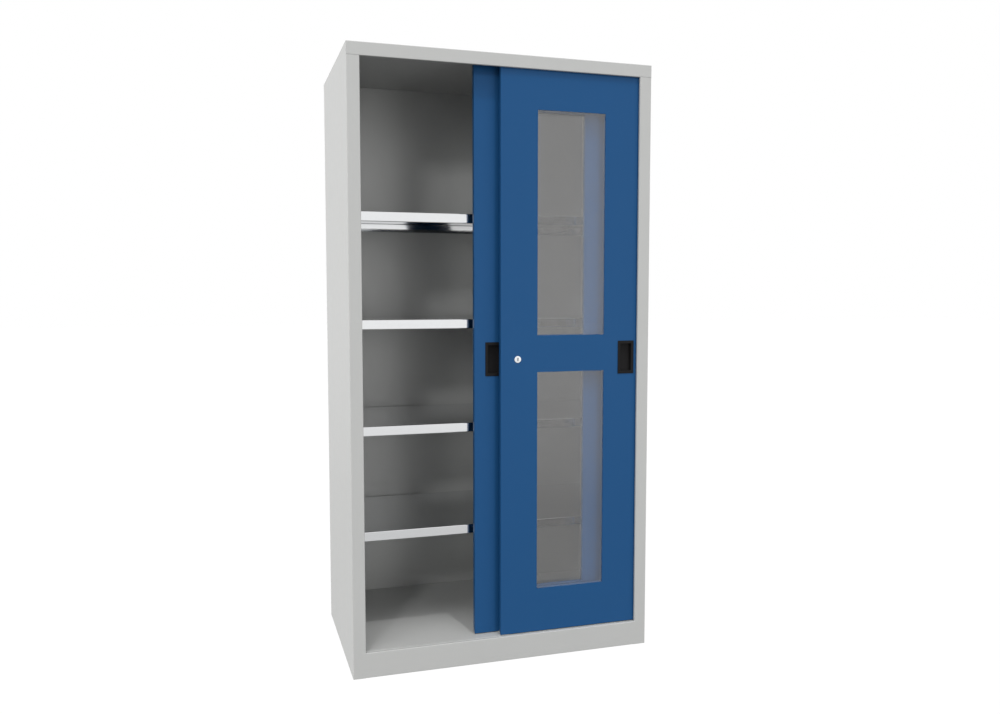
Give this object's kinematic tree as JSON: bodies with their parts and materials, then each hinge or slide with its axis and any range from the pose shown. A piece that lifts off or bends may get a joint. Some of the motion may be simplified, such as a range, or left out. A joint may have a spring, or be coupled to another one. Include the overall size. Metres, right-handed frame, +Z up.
{
  "type": "sliding door cabinet",
  "caption": "Tall sheet-steel cabinet with sliding doors that have glazed windows and recessed pulls, a key lock on the front door and adjustable galvanised shelves.",
  "frame": {"origin": "on the floor under the middle of the cabinet", "axes": "+X to the right as seen from the front, +Y from the front to the back, +Z up"},
  "size_m": [1, 0.6, 1.95],
  "materials": {
    "grey_paint": "pale grey powder coat, satin",
    "blue_paint": "gentian blue powder coat, satin",
    "galvanised": "smooth bright galvanised sheet",
    "zinc_steel": "zinc plated",
    "glazing": "clear sheet",
    "black_plastic": "fine matt moulding",
    "white_nylon": "turned nylon",
    "chrome_plate": "bright plated",
    "black_rubber": "matt"
  },
  "bodies": {
    "cabinet": {"side_panel_left": "grey_paint", "side_panel_right": "grey_paint", "top_panel": "grey_paint", "plinth_front": "grey_paint", "plinth_rear": "grey_paint", "floor_panel": "grey_paint", "back_panel": "grey_paint", "top_track": "zinc_steel", "floor_guide": "white_nylon", "upright_left_front": "grey_paint", "upright_left_rear": "grey_paint", "upright_right_front": "grey_paint", "upright_right_rear": "grey_paint", "buffer_left_front": "black_rubber", "buffer_left_rear": "black_rubber", "buffer_right_front": "black_rubber", "buffer_right_rear": "black_rubber", "shelf_1": "galvanised", "shelf_2": "galvanised", "shelf_3": "galvanised", "shelf_4": "galvanised", "bracket_left_1": "galvanised", "bracket_left_2": "galvanised", "bracket_left_3": "galvanised", "bracket_left_4": "galvanised", "bracket_right_1": "galvanised", "bracket_right_2": "galvanised", "bracket_right_3": "galvanised", "bracket_right_4": "galvanised"},
    "front_door": {"front_door_shell": "blue_paint", "front_door_guide_channel": "zinc_steel", "front_door_pane_lower": "glazing", "front_door_pane_upper": "glazing", "front_door_glazing_frame_lower": "blue_paint", "front_door_glazing_frame_upper": "blue_paint", "front_door_pull": "black_plastic", "front_door_hanger_left": "zinc_steel", "front_door_hanger_right": "zinc_steel", "lock_housing": "chrome_plate", "lock_nut": "zinc_steel"},
    "rear_door": {"rear_door_shell": "blue_paint", "rear_door_guide_channel": "zinc_steel", "rear_door_pane_lower": "glazing", "rear_door_pane_upper": "glazing", "rear_door_glazing_frame_lower": "blue_paint", "rear_door_glazing_frame_upper": "blue_paint", "rear_door_pull": "black_plastic", "rear_door_hanger_left": "zinc_steel", "rear_door_hanger_right": "zinc_steel", "lock_keeper": "zinc_steel"},
    "front_roller_left": {"front_door_roller_left": "white_nylon"},
    "front_roller_right": {"front_door_roller_right": "white_nylon"},
    "rear_roller_left": {"rear_door_roller_left": "white_nylon"},
    "rear_roller_right": {"rear_door_roller_right": "white_nylon"},
    "lock_barrel": {"lock_plug": "chrome_plate", "lock_cam": "zinc_steel", "lock_cam_screw": "zinc_steel"}
  },
  "joints": [
    {"name": "front_door_slide", "type": "slide", "parent": "cabinet", "child": "front_door", "axis": [-1, 0, 0], "range_m": [0, 0.472]},
    {"name": "rear_door_slide", "type": "slide", "parent": "cabinet", "child": "rear_door", "axis": [-1, 0, 0], "range_m": [-0.0774, 0.3946]},
    {"name": "front_roller_left_turn", "type": "hinge", "parent": "front_door", "child": "front_roller_left", "pos_m": [0.054, -0.274, 1.9382], "axis": [0, 1, 0], "range_deg": [-4510, 5]},
    {"name": "front_roller_right_turn", "type": "hinge", "parent": "front_door", "child": "front_roller_right", "pos_m": [0.418, -0.274, 1.9382], "axis": [0, 1, 0], "range_deg": [-4510, 5]},
    {"name": "rear_roller_left_turn", "type": "hinge", "parent": "rear_door", "child": "rear_roller_left", "pos_m": [-0.0234, -0.237, 1.9382], "axis": [0, 1, 0], "range_deg": [-3772, 743]},
    {"name": "rear_roller_right_turn", "type": "hinge", "parent": "rear_door", "child": "rear_roller_right", "pos_m": [0.3406, -0.237, 1.9382], "axis": [0, 1, 0], "range_deg": [-3772, 743]},
    {"name": "lock_turn", "type": "hinge", "parent": "front_door", "child": "lock_barrel", "pos_m": [0.0415, -0.278, 0.989], "axis": [0, 1, 0], "range_deg": [0, 90]}
  ],
  "couplings": [
    {"joint": "front_roller_left_turn", "follows": "front_door_slide", "rad_per_m": -166.67},
    {"joint": "front_roller_right_turn", "follows": "front_door_slide", "rad_per_m": -166.67},
    {"joint": "rear_roller_left_turn", "follows": "rear_door_slide", "rad_per_m": -166.67},
    {"joint": "rear_roller_right_turn", "follows": "rear_door_slide", "rad_per_m": -166.67}
  ]
}
